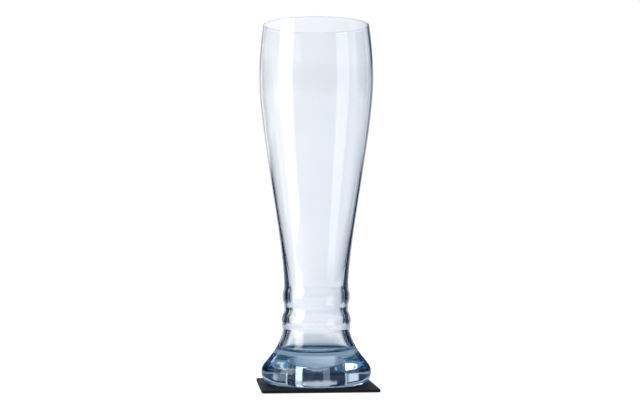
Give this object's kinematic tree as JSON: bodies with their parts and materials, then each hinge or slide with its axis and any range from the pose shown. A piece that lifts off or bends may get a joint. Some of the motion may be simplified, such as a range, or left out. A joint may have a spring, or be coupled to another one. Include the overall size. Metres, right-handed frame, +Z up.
{
  "type": "wheat beer glass",
  "caption": "Tall wheat beer glass with a barrel mouth, ringed neck and heavy foot that holds a magnet, standing on a thin square steel-cored gel pad it lifts off.",
  "frame": {"origin": "middle of the pad's underside, on the surface the pad lies on", "axes": "+Z up along the axis of the glass, +X and +Y along the sides of the square pad"},
  "size_m": [0.08, 0.08, 0.2524],
  "materials": {
    "clear_glass": "polished, faintly blue",
    "clear_glue": "clear cured glue",
    "cup_steel": "satin grey plating",
    "magnet_nickel": "bright nickel plating",
    "stainless_disc": "fine turned grain",
    "charcoal_cover": "fine grained charcoal",
    "steel_sheet": "cold rolled",
    "tacky_gel": "smooth tacky gel"
  },
  "bodies": {
    "pad": {"pad_cover": "charcoal_cover", "pad_steel_sheet": "steel_sheet", "pad_gel": "tacky_gel"},
    "glass": {"glass_body": "clear_glass", "glue_film": "clear_glue", "magnet_cup": "cup_steel", "holding_magnet": "magnet_nickel", "recess_cover_disc": "stainless_disc"}
  },
  "joints": [
    {"name": "glass_lift", "type": "slide", "parent": "pad", "child": "glass", "axis": [0, 0, 1], "range_m": [0, 0.05]}
  ]
}
